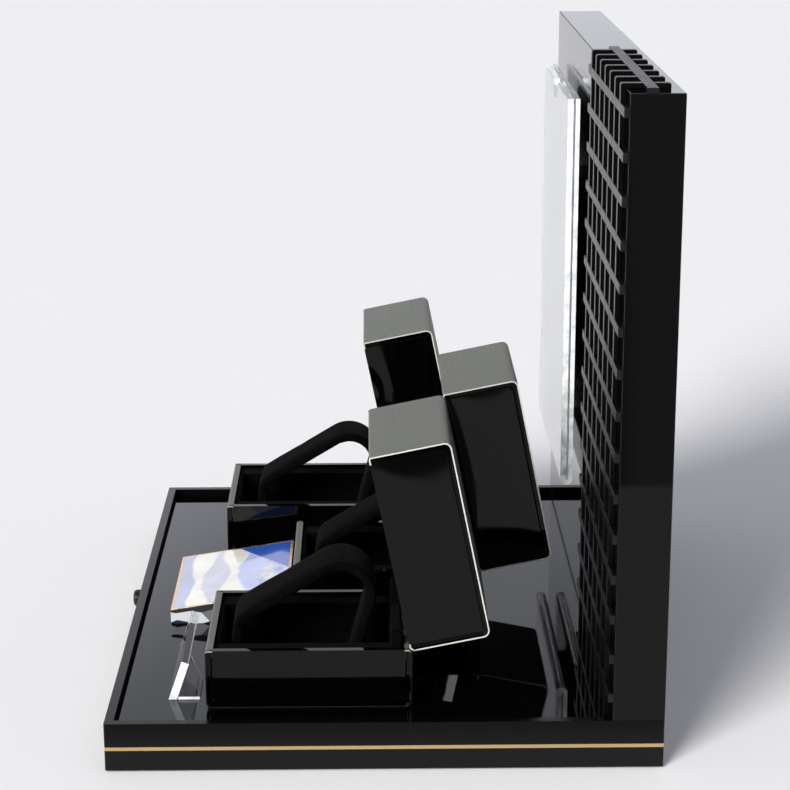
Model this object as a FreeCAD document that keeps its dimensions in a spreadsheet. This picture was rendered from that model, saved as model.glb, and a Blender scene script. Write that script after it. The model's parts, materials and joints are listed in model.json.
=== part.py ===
import FreeCAD, Part
import math
import os
import re
import Sketcher
from FreeCAD import Placement, Rotation, Vector

# Watch display stand: a recessed tray base with an upright back panel, a half-lapped
# lattice over the right part of the panel, a clear poster holder beside it, two clear
# blocks on the tray, and three hinged watch boxes that stand open with a cuff in each.
# Millimetres. X runs to the right, Y to the back, Z up; the floor is at zero.

# Driving sizes in millimetres, angles in degrees
sizes = {
    # base
    "baseWide": 400,
    "baseDeep": 300,
    "baseHigh": 28,
    "rimWide": 5,
    "recessDeep": 5,
    "trayThick": 3,
    "trayFit": 0.15,
    "edgeRound": 0.8,
    "coverInset": 12,
    "coverThick": 2,
    "footHigh": 1,
    "footWide": 18,
    "footInset": 26,
    "trimHigh": 2,
    "trimDeep": 1,
    "trimLevel": 13.5,
    "studWide": 10.4,
    "studReach": 4.5,
    "studShank": 4,
    "studSink": 4,
    "studLevel": 22,
    "studRound": 1.2,
    "shankFit": 0.05,
    # fasteners
    "boltShank": 6,
    "boltHead": 11,
    "boltHeadHigh": 4,
    "boltGrip": 34,
    "boltPitch": 165,
    # panel and lattice
    "panelThick": 28,
    "panelHigh": 335.2,
    "slatWide": 5.1,
    "slatDeep": 2.8,
    "slatCap": 2.8,
    "slatBend": 1.1,
    "slatTail": 22.6,
    "slatTailRound": 1,
    "slatEnd": 19.5,
    "slatPitch": 23.18,
    "barHigh": 5.1,
    "barDeep": 2.8,
    "barFirst": 17.85,
    "barPitch": 22.33,
    "barLong": 175,
    "lapDeep": 1.4,
    "lapFit": 0.1,
    "topBarBack": 8.5,
    "topBarWide": 5.8,
    "topBarHigh": 2.8,
    # poster holder
    "holderWide": 168,
    "holderHigh": 240,
    "holderShift": 94,
    "holderLift": 68,
    "holderFront": 3.7,
    "holderGap": 1,
    "holderBack": 2.8,
    "holderBend": 3.7,
    "holderGapRound": 0.4,
    "holderStandoff": 3.4,
    "fingerWide": 21,
    "posterThick": 0.6,
    "posterInset": 1.5,
    "posterDrop": 3,
    "posterFit": 0.2,
    "railLong": 150,
    "railHigh": 7,
    "railInset": 44.5,
    # blocks on the tray
    "pictureWide": 91.9,
    "pictureDeep": 71.5,
    "pictureFront": 8.4,
    "pictureRear": 19.75,
    "pictureShift": 0.1,
    "picturePlace": 22.5,
    "borderWide": 1.9,
    "cardThick": 0.5,
    "nameWide": 76.1,
    "nameHigh": 22.7,
    "nameThick": 4.55,
    "nameTilt": 19.2,
    "nameShift": 119.4,
    "namePlace": 30.8,
    "nameFootThick": 1.8,
    "nameFootReach": 17.6,
    "nameFootFlat": 23.7,
    "nameFootCut": 34.6,
    "nameFootStart": 5,
    "nameFootNeck": 8.6,
    # watch boxes
    "boxWide": 91.9,
    "boxLong": 112.9,
    "boxHigh": 33.8,
    "lidHigh": 44.5,
    "rimGap": 0.3,
    "openAngle": 78.5,
    "wrapThick": 0.8,
    "endWall": 4.2,
    "sideWall": 4,
    "boxFloor": 2.5,
    "lidRoof": 1.8,
    "cornerRound": 4,
    "rimRound": 1.5,
    "backBevel": 1.8,
    "frameBand": 2.4,
    "grooveWide": 0.5,
    "grooveDeep": 0.4,
    "boxRowPlace": 52.63,
    "boxStep": 43.56,
    "boxPitch": 121.5,
    "boxShift": -2.38,
    "leftLead": 3,
    # suede lining
    "linerFloor": 1,
    "ledgeDrop": 2,
    "sideLedge": 12.5,
    "frontLedge": 2.5,
    "rearLedge": 8,
    "ridgeFront": 10,
    "ridgeDeep": 5.5,
    "ridgeHigh": 10,
    "ridgeRound": 2,
    "liningThick": 0.8,
    "liningDrop": 1.5,
    "liningFit": 0.6,
    # hinges
    "hingeInset": 1.3,
    "hingeLong": 50,
    "barrelWide": 2.2,
    "barrelFit": 0.3,
    "pinWide": 1.2,
    "pinFit": 0.05,
    "leafThick": 0.8,
    "leafDrop": 10,
    "knuckleGap": 0.2,
    "leafFit": 0.05,
    # cuffs
    "cuffWide": 33.6,
    "cuffThick": 5.4,
    "cuffFrontFoot": 10.9,
    "cuffKneeBack": 14.6,
    "cuffKneeHigh": 41.2,
    "cuffCrownBack": 105.7,
    "cuffCrownHigh": 96.3,
    "cuffRearFoot": 81,
    "leftCuffBack": 5.9,
    "cuffKneeRound": 9.9,
    "cuffCrownRound": 19.8,
    "cuffFit": 0.3,
}

# Counts
boltCount = 3
slatCount = 7
barCount = 15
knuckleCount = 3

doc = FreeCAD.newDocument("WatchDisplayStand")
sheet = doc.addObject("Spreadsheet::Sheet", "Sizes")
for row, (name, number) in enumerate(sizes.items(), start=1):
    sheet.set(f"A{row}", name)
    sheet.set(f"B{row}", str(number))
    sheet.setAlias(f"B{row}", name)
workings = doc.addObject("Spreadsheet::Sheet", "Workings")
doc.recompute()

# Levels and planes that several pieces share
frontFace = "((studReach - baseDeep)/2)"
panelFace = "(baseDeep - panelThick)"
panelTop = "(baseHigh + panelHigh)"
trayTop = "(baseHigh - recessDeep)"
slatFace = "(baseDeep - panelThick - slatDeep)"
lapPlane = "(baseDeep - panelThick - slatDeep + lapDeep)"
holderDeep = "(holderFront + holderGap + holderBack)"
holderFace = f"({panelFace} - holderStandoff - {holderDeep})"
holderFoot = f"({trayTop} + holderLift)"
boxFront = "(hingeInset - boxLong)"
boxRear = "(hingeInset)"


# Helpers


def rule(text):
    """The text as an expression, with each size looked up in the sheet."""
    named = lambda word: "Sizes." + word.group() if word.group() in sizes else word.group()
    return re.sub(r"[A-Za-z]\w*", named, text)


def bind(item, target, text):
    item.setExpression(target, rule(text))


def worth(text):
    """The number that a rule gives, worked out in a spare sheet."""
    workings.set("A1", "=" + rule(text))
    workings.recompute()
    return float(workings.get("A1"))


def newBody(label, x="0", y=frontFace, z="0"):
    body = doc.addObject("PartDesign::Body", label)
    body.Label = label
    body.AllowCompound = True
    for axis, text in (("x", x), ("y", y), ("z", z)):
        bind(body, "Placement.Base." + axis, text)
    return body


def originPart(body, role):
    return next(item for item in body.Origin.OriginFeatures if item.Role == role)


def newSketch(body, name, role, lift="0"):
    sketch = body.newObject("Sketcher::SketchObject", name)
    sketch.AttachmentSupport = (originPart(body, role), [""])
    sketch.MapMode = "FlatFace"
    bind(sketch, "AttachmentOffset.Base.z", lift)
    return sketch


def placePoint(sketch, edge, point, rules, start):
    for kind, text, value in zip(("DistanceX", "DistanceY"), rules, start):
        constraint = sketch.addConstraint(Sketcher.Constraint(kind, -1, 1, edge, point, value))
        sketch.setExpression(f"Constraints[{constraint}]", rule(text))


def addOutline(sketch, corners):
    """A closed outline of straight edges, each corner placed by two rules."""
    first = sketch.GeometryCount
    count = len(corners)
    turn = 2 * math.pi / count
    spots = [Vector(math.cos(turn * i), math.sin(turn * i), 0) for i in range(count)]
    for i in range(count):
        sketch.addGeometry(Part.LineSegment(spots[i], spots[(i + 1) % count]))
    for i in range(count):
        sketch.addConstraint(Sketcher.Constraint("Coincident", first + i, 2, first + (i + 1) % count, 1))
    for i, corner in enumerate(corners):
        placePoint(sketch, first + i, 1, corner, (spots[i].x, spots[i].y))


def addRectangle(sketch, left, low, right, high):
    addOutline(sketch, [(left, low), (right, low), (right, high), (left, high)])


def addCircle(sketch, across, up, radius):
    edge = sketch.addGeometry(Part.Circle(Vector(0, 0, 0), Vector(0, 0, 1), 1))
    constraint = sketch.addConstraint(Sketcher.Constraint("Radius", edge, 1))
    sketch.setExpression(f"Constraints[{constraint}]", rule(radius))
    placePoint(sketch, edge, 3, (across, up), (0, 0))


def addFeature(body, kind, name, sketch, length, middle, back):
    feature = body.newObject("PartDesign::" + kind, name)
    feature.Profile = sketch
    bind(feature, "Length", length)
    feature.Midplane = middle
    feature.Reversed = back
    doc.recompute()
    return feature


def pad(body, sketch, length, middle=False, back=False):
    return addFeature(body, "Pad", sketch.Label + "_pad", sketch, length, middle, back)


def pocket(body, sketch, length, middle=False, back=False):
    before = body.Shape.Volume
    feature = addFeature(body, "Pocket", sketch.Label + "_pocket", sketch, length, middle, back)
    if feature.Shape.Volume > before - 1e-4:
        raise RuntimeError(f"{body.Label}: {sketch.Label} cuts nothing")
    return feature


def repeat(body, features, role, step, count):
    """A row of copies along an origin axis, which becomes the body's tip."""
    pattern = body.newObject("PartDesign::LinearPattern", features[0].Label + "_row")
    pattern.Originals = features
    pattern.Direction = (originPart(body, role), [""])
    bind(pattern, "Length", f"({step})*{count - 1}")
    pattern.Occurrences = count
    body.Tip = pattern
    doc.recompute()
    return pattern


def mirror(body, features, role):
    pattern = body.newObject("PartDesign::Mirrored", features[0].Label + "_mirror")
    pattern.Originals = features
    pattern.MirrorPlane = (originPart(body, role), [""])
    body.Tip = pattern
    doc.recompute()
    return pattern


def edgesAt(feature, axis, spots):
    """Names of the straight edges along an axis through the spots of the plane across it."""
    across = {"X": ("y", "z"), "Y": ("x", "z"), "Z": ("x", "y")}[axis]
    places = [(worth(a), worth(b)) for a, b in spots]
    names = []
    for number, edge in enumerate(feature.Shape.Edges, start=1):
        ends = [vertex.Point for vertex in edge.Vertexes]
        if len(ends) != 2:
            continue
        for place in places:
            gaps = [abs(getattr(end, c) - p) for end in ends for c, p in zip(across, place)]
            if max(gaps) < 1e-4:
                names.append(f"Edge{number}")
    if not names:
        raise RuntimeError(f"{feature.Label}: no edge at {spots}")
    return names


def edgesWhere(feature, test):
    return [f"Edge{i}" for i, edge in enumerate(feature.Shape.Edges, start=1) if test(edge)]


def fillet(body, feature, names, radius):
    rounded = body.newObject("PartDesign::Fillet", "Fillet")
    rounded.Base = (feature, names)
    bind(rounded, "Radius", radius)
    doc.recompute()
    return rounded


def chamfer(body, feature, names, width):
    bevelled = body.newObject("PartDesign::Chamfer", "Chamfer")
    bevelled.Base = (feature, names)
    bind(bevelled, "Size", width)
    doc.recompute()
    return bevelled


# Base


def boltSpots():
    middle = "(baseDeep - panelThick/2)"
    return [(f"(boltPitch*{i - (boltCount - 1) / 2})", middle) for i in range(boltCount)]


def baseCarcass():
    body = newBody("base_carcass")
    board = newSketch(body, "board", "XY_Plane", "footHigh")
    addRectangle(board, "-baseWide/2", "0", "baseWide/2", "baseDeep")
    solid = pad(body, board, "baseHigh - footHigh")
    corners = [(f"{side}baseWide/2", depth) for side in ("-", "") for depth in ("0", "baseDeep")]
    fillet(body, solid, edgesAt(solid, "Z", corners), "edgeRound")

    recess = newSketch(body, "tray_recess", "XY_Plane", "baseHigh")
    addRectangle(recess, "rimWide - baseWide/2", "rimWide", "baseWide/2 - rimWide", panelFace)
    pocket(body, recess, "recessDeep + trayThick")

    under = newSketch(body, "cover_recess", "XY_Plane", "footHigh")
    addRectangle(under, "coverInset - baseWide/2", "coverInset",
                 "baseWide/2 - coverInset", "baseDeep - coverInset")
    pocket(body, under, "coverThick", back=True)

    heads = newSketch(body, "bolt_head_bores", "XY_Plane", "footHigh + coverThick")
    shanks = newSketch(body, "bolt_bores", "XY_Plane", "footHigh")
    for across, along in boltSpots():
        addCircle(heads, across, along, "boltHead/2 + barrelFit")
        addCircle(shanks, across, along, "boltShank/2")
    pocket(body, heads, "boltHeadHigh", back=True)
    pocket(body, shanks, "baseHigh", back=True)

    groove = newSketch(body, "trim_groove", "XY_Plane", "trimLevel - trimHigh/2")
    addRectangle(groove, "-baseWide/2 - trimDeep", "-trimDeep",
                 "baseWide/2 + trimDeep", "baseDeep + trimDeep")
    addRectangle(groove, "trimDeep - baseWide/2", "trimDeep",
                 "baseWide/2 - trimDeep", "baseDeep - trimDeep")
    pocket(body, groove, "trimHigh", back=True)

    socket = newSketch(body, "stud_socket", "XZ_Plane")
    addCircle(socket, "0", "studLevel", "studShank/2")
    pocket(body, socket, "studSink")
    return body


def trayFloor():
    body = newBody("tray_floor")
    sheetOutline = newSketch(body, "tray", "XY_Plane", f"{trayTop} - trayThick")
    addRectangle(sheetOutline, "rimWide + trayFit - baseWide/2", "rimWide + trayFit",
                 "baseWide/2 - rimWide - trayFit", f"{panelFace} - trayFit")
    pad(body, sheetOutline, "trayThick")
    return body


def bottomCover():
    body = newBody("base_bottom_cover")
    outline = newSketch(body, "cover", "XY_Plane", "footHigh")
    inset = "(coverInset + trayFit)"
    addRectangle(outline, f"{inset} - baseWide/2", inset, f"baseWide/2 - {inset}", f"baseDeep - {inset}")
    pad(body, outline, "coverThick")
    return body


def panelBolts():
    body = newBody("panel_bolts")
    heads = newSketch(body, "heads", "XY_Plane", "footHigh + coverThick")
    shanks = newSketch(body, "shanks", "XY_Plane", "footHigh + coverThick + boltHeadHigh")
    for across, along in boltSpots():
        addCircle(heads, across, along, "boltHead/2")
        addCircle(shanks, across, along, "boltShank/2")
    pad(body, heads, "boltHeadHigh")
    pad(body, shanks, "baseHigh - footHigh - coverThick - boltHeadHigh + boltGrip - 1")
    return body


def goldTrim():
    body = newBody("gold_trim")
    ring = newSketch(body, "strip", "XY_Plane", "trimLevel - trimHigh/2")
    addRectangle(ring, "-baseWide/2", "0", "baseWide/2", "baseDeep")
    addRectangle(ring, "trimDeep - baseWide/2", "trimDeep",
                 "baseWide/2 - trimDeep", "baseDeep - trimDeep")
    solid = pad(body, ring, "trimHigh")
    corners = [(f"{side}baseWide/2", depth) for side in ("-", "") for depth in ("0", "baseDeep")]
    fillet(body, solid, edgesAt(solid, "Z", corners), "edgeRound")
    return body


def rubberFeet():
    body = newBody("rubber_feet")
    pads = newSketch(body, "pads", "XY_Plane")
    for side in (-1, 1):
        for depth in ("footInset", "(baseDeep - footInset)"):
            addCircle(pads, f"(baseWide/2 - footInset)*{side}", depth, "footWide/2")
    pad(body, pads, "footHigh")
    return body


def frontStud():
    body = newBody("front_stud", z="studLevel")
    half = newSketch(body, "half_section", "XY_Plane")
    addOutline(half, [
        ("0", "-studReach"),
        ("studWide/2", "-studReach"),
        ("studWide/2", "0"),
        ("studShank/2 - shankFit", "0"),
        ("studShank/2 - shankFit", "studSink - shankFit"),
        ("0", "studSink - shankFit"),
    ])
    turned = body.newObject("PartDesign::Revolution", "turned")
    turned.Profile = half
    turned.ReferenceAxis = (half, ["V_Axis"])
    turned.Angle = 360
    doc.recompute()
    reach = worth("-studReach")
    rim = edgesWhere(turned, lambda edge: len(edge.Vertexes) == 1
                     and abs(edge.BoundBox.YMax - reach) < 1e-4)
    chamfer(body, turned, rim, "studRound")
    return body


# Back panel and lattice


def backPanel():
    body = newBody("back_panel")
    outline = newSketch(body, "board", "XY_Plane", "baseHigh")
    addRectangle(outline, "-baseWide/2", panelFace, "baseWide/2", "baseDeep")
    solid = pad(body, outline, "panelHigh")
    corners = [(f"{side}baseWide/2", depth) for side in ("-", "") for depth in (panelFace, "baseDeep")]
    top = worth(panelTop)
    names = edgesAt(solid, "Z", corners)
    names += edgesWhere(solid, lambda edge: edge.BoundBox.ZMin > top - 1e-4)
    chamfer(body, solid, names, "edgeRound/2")
    bores = newSketch(body, "bolt_bores", "XY_Plane", "baseHigh")
    for across, along in boltSpots():
        addCircle(bores, across, along, "boltShank/2")
    pocket(body, bores, "boltGrip", back=True)
    return body


def slatCentre(number):
    return f"(baseWide/2 - slatEnd - slatPitch*{number})"


def barFoot(number):
    return f"({trayTop} + barFirst - barHigh/2 + barPitch*{number})"


topBarNear = f"({panelFace} + topBarBack)"
topBarFar = f"({panelFace} + topBarBack + topBarWide)"
crest = f"({panelTop} + slatCap)"


def latticeSlat(number):
    """An upright strip from the tray over the panel's top, notched where the bars cross it."""
    body = newBody(f"lattice_slat_{number + 1}", x=slatCentre(number))
    tail = f"({panelFace} + slatTail)"
    section = newSketch(body, "strip", "YZ_Plane")
    addOutline(section, [
        (slatFace, trayTop),
        (panelFace, trayTop),
        (panelFace, panelTop),
        (tail, panelTop),
        (tail, crest),
        (slatFace, crest),
    ])
    solid = pad(body, section, "slatWide", middle=True)
    bent = fillet(body, solid, edgesAt(solid, "X", [(slatFace, crest)]), "slatBend")
    fillet(body, bent, edgesAt(bent, "X", [(tail, crest)]), "slatTailRound")
    upper = newSketch(body, "top_lap", "YZ_Plane")
    addRectangle(upper, f"{topBarNear} - lapFit", f"{crest} - lapDeep",
                 f"{topBarFar} + lapFit", f"{crest} + lapDeep")
    pocket(body, upper, "slatWide + lapFit", middle=True)
    notch = newSketch(body, "lap", "YZ_Plane")
    addRectangle(notch, f"{slatFace} - lapDeep", f"{barFoot(0)} - lapFit",
                 lapPlane, f"{barFoot(0)} + barHigh + lapFit")
    cut = pocket(body, notch, "slatWide + lapFit", middle=True)
    repeat(body, [cut], "Z_Axis", "barPitch", barCount)
    return body


def latticeCrossBars():
    """Level bars, notched behind for the slats, whose faces run through unbroken."""
    body = newBody("lattice_cross_bars")
    end = "(baseWide/2)"
    far = "(baseWide/2 - barLong)"
    back = f"({slatFace} + barDeep)"
    comb = [(far, slatFace), (end, slatFace), (end, back)]
    for number in range(slatCount):
        right = f"{slatCentre(number)} + slatWide/2 + lapFit"
        left = f"{slatCentre(number)} - slatWide/2 - lapFit"
        comb += [(right, back), (right, lapPlane), (left, lapPlane), (left, back)]
    comb.append((far, back))
    outline = newSketch(body, "comb", "XY_Plane", barFoot(0))
    addOutline(outline, comb)
    bar = pad(body, outline, "barHigh")
    repeat(body, [bar], "Z_Axis", "barPitch", barCount)
    return body


def latticeTopBar():
    """The bar on the panel's top, flush with the slats and notched below for them."""
    body = newBody("lattice_top_bar")
    outline = newSketch(body, "bar", "XY_Plane", f"{crest} - topBarHigh")
    addRectangle(outline, "baseWide/2 - barLong", topBarNear, "baseWide/2", topBarFar)
    pad(body, outline, "topBarHigh")
    laps = newSketch(body, "laps", "XY_Plane", f"{crest} - topBarHigh")
    for number in range(slatCount):
        addRectangle(laps, f"{slatCentre(number)} - slatWide/2 - lapFit", f"{topBarNear} - lapFit",
                     f"{slatCentre(number)} + slatWide/2 + lapFit", f"{topBarFar} + lapFit")
    pocket(body, laps, "topBarHigh - lapDeep", back=True)
    return body


# Poster holder


def posterHolder():
    """One clear sheet bent to a narrow upright trough, with a finger notch in its front leaf."""
    body = newBody("poster_holder", x="-holderShift")
    rear = f"({holderFace} + {holderDeep})"
    head = f"({holderFoot} + holderHigh)"
    section = newSketch(body, "outside", "YZ_Plane")
    addRectangle(section, holderFace, holderFoot, rear, head)
    solid = pad(body, section, "holderWide", middle=True)
    fillet(body, solid, edgesAt(solid, "X", [(holderFace, holderFoot), (rear, holderFoot)]), "holderBend")
    slotFoot = f"({holderFoot} + holderBend)"
    slotFront = f"({holderFace} + holderFront)"
    slot = newSketch(body, "slot", "YZ_Plane")
    addRectangle(slot, slotFront, slotFoot, f"{slotFront} + holderGap", f"{head} + holderGap")
    cut = pocket(body, slot, "holderWide", middle=True)
    fillet(body, cut, edgesAt(cut, "X", [(slotFront, slotFoot), (f"{slotFront} + holderGap", slotFoot)]),
           "holderGapRound")
    finger = newSketch(body, "finger_notch", "XZ_Plane", f"-{holderFace}")
    addCircle(finger, "0", head, "fingerWide/2")
    pocket(body, finger, "holderFront + holderGap/2")
    return body


def posterSheet():
    body = newBody("poster_sheet", x="-holderShift")
    middle = f"({holderFace} + holderFront + holderGap/2)"
    foot = f"({holderFoot} + holderBend + posterFit)"
    outline = newSketch(body, "sheet", "XY_Plane", foot)
    addRectangle(outline, "posterInset - holderWide/2", f"{middle} - posterThick/2",
                 "holderWide/2 - posterInset", f"{middle} + posterThick/2")
    pad(body, outline, f"{holderFoot} + holderHigh - posterDrop - {foot}")
    return body


def holderSpacer(label, level):
    body = newBody(label, x="-holderShift")
    outline = newSketch(body, "rail", "XY_Plane", f"{level} - railHigh/2")
    addRectangle(outline, "-railLong/2", f"{panelFace} - holderStandoff", "railLong/2", panelFace)
    pad(body, outline, "railHigh")
    return body


# Blocks on the tray


def slopeBand(sketch, front, rear, low, high):
    """A band that follows the picture block's sloped top between two depths."""
    slope = "((pictureRear - pictureFront)/pictureDeep)"
    start = f"({trayTop} + pictureFront)"
    at = lambda depth, lift: f"{start} + {slope}*({depth} - picturePlace) + {lift}"
    addOutline(sketch, [(front, at(front, low)), (rear, at(rear, low)),
                        (rear, at(rear, high)), (front, at(front, high))])


def pictureBlock():
    body = newBody("picture_block", x="-pictureShift")
    rear = "(picturePlace + pictureDeep)"
    section = newSketch(body, "wedge", "YZ_Plane")
    addOutline(section, [
        ("picturePlace", trayTop),
        (rear, trayTop),
        (rear, f"{trayTop} + pictureRear"),
        ("picturePlace", f"{trayTop} + pictureFront"),
    ])
    pad(body, section, "pictureWide", middle=True)
    return body


def pictureBorder():
    body = newBody("picture_border", x="-pictureShift")
    rear = "(picturePlace + pictureDeep)"
    band = newSketch(body, "band", "YZ_Plane")
    slopeBand(band, "picturePlace", rear, "0", "cardThick")
    pad(body, band, "pictureWide", middle=True)
    window = newSketch(body, "window", "XY_Plane", trayTop)
    addRectangle(window, "borderWide - pictureWide/2", "picturePlace + borderWide",
                 "pictureWide/2 - borderWide", f"{rear} - borderWide")
    pocket(body, window, "pictureRear + 2*cardThick", back=True)
    return body


def pictureCard():
    body = newBody("picture_card", x="-pictureShift")
    card = newSketch(body, "card", "YZ_Plane")
    slopeBand(card, "(picturePlace + borderWide)", "(picturePlace + pictureDeep - borderWide)",
              "0", "cardThick")
    pad(body, card, "pictureWide - 2*borderWide", middle=True)
    return body


def nameBlockUpright():
    body = newBody("name_block_upright", x="nameShift")
    lean = "(nameHigh*tan(nameTilt))"
    topBack = f"(namePlace + {lean} + nameThick*cos(nameTilt))"
    topDrop = f"({trayTop} + nameHigh - nameThick*sin(nameTilt))"
    section = newSketch(body, "leaning_plate", "YZ_Plane")
    addOutline(section, [
        ("namePlace", trayTop),
        ("namePlace + nameThick/cos(nameTilt)", trayTop),
        (topBack, topDrop),
        (f"namePlace + {lean}", f"{trayTop} + nameHigh"),
    ])
    pad(body, section, "nameWide", middle=True)
    return body


def nameBlockFoot():
    body = newBody("name_block_foot", x="nameShift")
    seam = "(namePlace + nameThick/cos(nameTilt) + nameFootThick*tan(nameTilt))"
    outline = newSketch(body, "foot", "XY_Plane", trayTop)
    addOutline(outline, [
        ("nameFootStart - nameWide/2", seam),
        ("nameWide/2", seam),
        ("nameWide/2", "namePlace + nameFootReach"),
        ("nameWide/2 - nameFootFlat", "namePlace + nameFootReach"),
        ("nameWide/2 - nameFootFlat - nameFootCut", "namePlace + nameFootNeck"),
    ])
    pad(body, outline, "nameFootThick")
    return body


# Watch boxes: each half is drawn closed, with the hinge axis as its origin


class Half:
    """One half of a box: the base hangs below the hinge axis and the lid rises above it."""

    def __init__(self, part, sign, high, roof):
        self.part = part
        self.sign = sign
        self.high = high
        self.roof = roof

    def level(self, text):
        """Height of something measured from the rim plane towards the closed side."""
        return f"({self.sign}(rimGap/2 + {text}))"


lowerHalf = Half("base", "-", "boxHigh", "boxFloor")
upperHalf = Half("lid", "", "lidHigh", "lidRoof")


def boxBody(side, name, place, turned):
    """A box piece whose origin lies on the hinge axis, swung open where it is on the lid."""
    body = newBody(f"{side}_{name}", *place)
    if turned:
        body.Placement = Placement(body.Placement.Base, Rotation(Vector(-1, 0, 0), 1))
        bind(body, "Placement.Rotation.Angle", "openAngle")
    return body


def cutHingeSeat(body, half):
    """The barrel's round groove and the leaf's flat mortise across the rear rim."""
    reach = "hingeLong + 2*leafFit + knuckleGap"
    barrel = newSketch(body, "barrel_groove", "YZ_Plane")
    addCircle(barrel, "0", "0", "barrelWide/2 + barrelFit")
    pocket(body, barrel, reach, middle=True)
    mortise = newSketch(body, "leaf_mortise", "YZ_Plane")
    addRectangle(mortise, f"{boxRear} - endWall - leafThick - leafFit", half.level("leafThick + leafFit"),
                 "0", half.level("-rimGap/4"))
    pocket(body, mortise, reach, middle=True)


def boxShell(side, place, half):
    """Lacquered shell: full-height side walls, and end walls lowered for the turned-over wrap."""
    body = boxBody(side, half.part + "_shell", place, half is upperHalf)
    rim = half.level("0")
    lip = half.level("wrapThick")
    closed = half.level(f"{half.high} - wrapThick")
    front = f"({boxFront} + wrapThick)"
    rear = f"({boxRear} - wrapThick)"
    bevel = "(backBevel + wrapThick*(sqrt(2) - 1))"
    section = newSketch(body, "side_outline", "YZ_Plane")
    addOutline(section, [
        (front, closed),
        (rear, closed),
        (rear, half.level(bevel)),
        (f"{boxRear} - {bevel}", lip),
        (f"{boxRear} - endWall", lip),
        (f"{boxRear} - endWall", rim),
        (f"{boxFront} + endWall", rim),
        (f"{boxFront} + endWall", lip),
        (front, lip),
    ])
    solid = pad(body, section, "boxWide", middle=True)
    solid = fillet(body, solid, edgesAt(solid, "X", [(front, closed), (rear, closed)]),
                   "cornerRound - wrapThick")
    fillet(body, solid, edgesAt(solid, "X", [(front, lip)]), "rimRound - wrapThick")

    hollow = newSketch(body, "inside", "XY_Plane", rim)
    addRectangle(hollow, "sideWall - boxWide/2", f"{boxFront} + endWall",
                 "boxWide/2 - sideWall", f"{boxRear} - endWall")
    pocket(body, hollow, f"{half.high} - wrapThick - {half.roof}", back=half is upperHalf)
    cutHingeSeat(body, half)

    near = "(wrapThick + frameBand)"
    far = "(wrapThick + frameBand + grooveWide)"
    groove = newSketch(body, "side_groove", "YZ_Plane", "boxWide/2")
    addOutline(groove, [
        (f"{boxFront} + {near}", lip),
        (f"{boxFront} + {near}", half.level(f"{half.high} - {near}")),
        (f"{boxRear} - {near}", half.level(f"{half.high} - {near}")),
        (f"{boxRear} - {near}", lip),
        (f"{boxRear} - {far}", lip),
        (f"{boxRear} - {far}", half.level(f"{half.high} - {far}")),
        (f"{boxFront} + {far}", half.level(f"{half.high} - {far}")),
        (f"{boxFront} + {far}", lip),
    ])
    cut = pocket(body, groove, "grooveDeep")
    mirror(body, [cut], "YZ_Plane")
    return body


def boxWrap(side, place, half):
    """A leatherette band over front, closed face and rear, turned over the two end rims."""
    body = boxBody(side, half.part + "_wrap", place, half is upperHalf)
    rim = half.level("0")
    lip = half.level("wrapThick")
    outer = half.level(half.high)
    inner = half.level(f"{half.high} - wrapThick")
    bevel = "(backBevel + wrapThick*(sqrt(2) - 1))"
    section = newSketch(body, "band_outline", "YZ_Plane")
    addOutline(section, [
        (f"{boxFront} + endWall", rim),
        (boxFront, rim),
        (boxFront, outer),
        (boxRear, outer),
        (boxRear, half.level("backBevel")),
        (f"{boxRear} - backBevel", rim),
        (f"{boxRear} - endWall", rim),
        (f"{boxRear} - endWall", lip),
        (f"{boxRear} - {bevel}", lip),
        (f"{boxRear} - wrapThick", half.level(bevel)),
        (f"{boxRear} - wrapThick", inner),
        (f"{boxFront} + wrapThick", inner),
        (f"{boxFront} + wrapThick", lip),
        (f"{boxFront} + endWall", lip),
    ])
    solid = pad(body, section, "boxWide", middle=True)
    solid = fillet(body, solid, edgesAt(solid, "X", [(boxFront, outer), (boxRear, outer)]), "cornerRound")
    insides = [(f"{boxFront} + wrapThick", inner), (f"{boxRear} - wrapThick", inner)]
    solid = fillet(body, solid, edgesAt(solid, "X", insides), "cornerRound - wrapThick")
    solid = fillet(body, solid, edgesAt(solid, "X", [(boxFront, rim)]), "rimRound")
    fillet(body, solid, edgesAt(solid, "X", [(f"{boxFront} + wrapThick", lip)]), "rimRound - wrapThick")
    cutHingeSeat(body, half)
    return body


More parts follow.
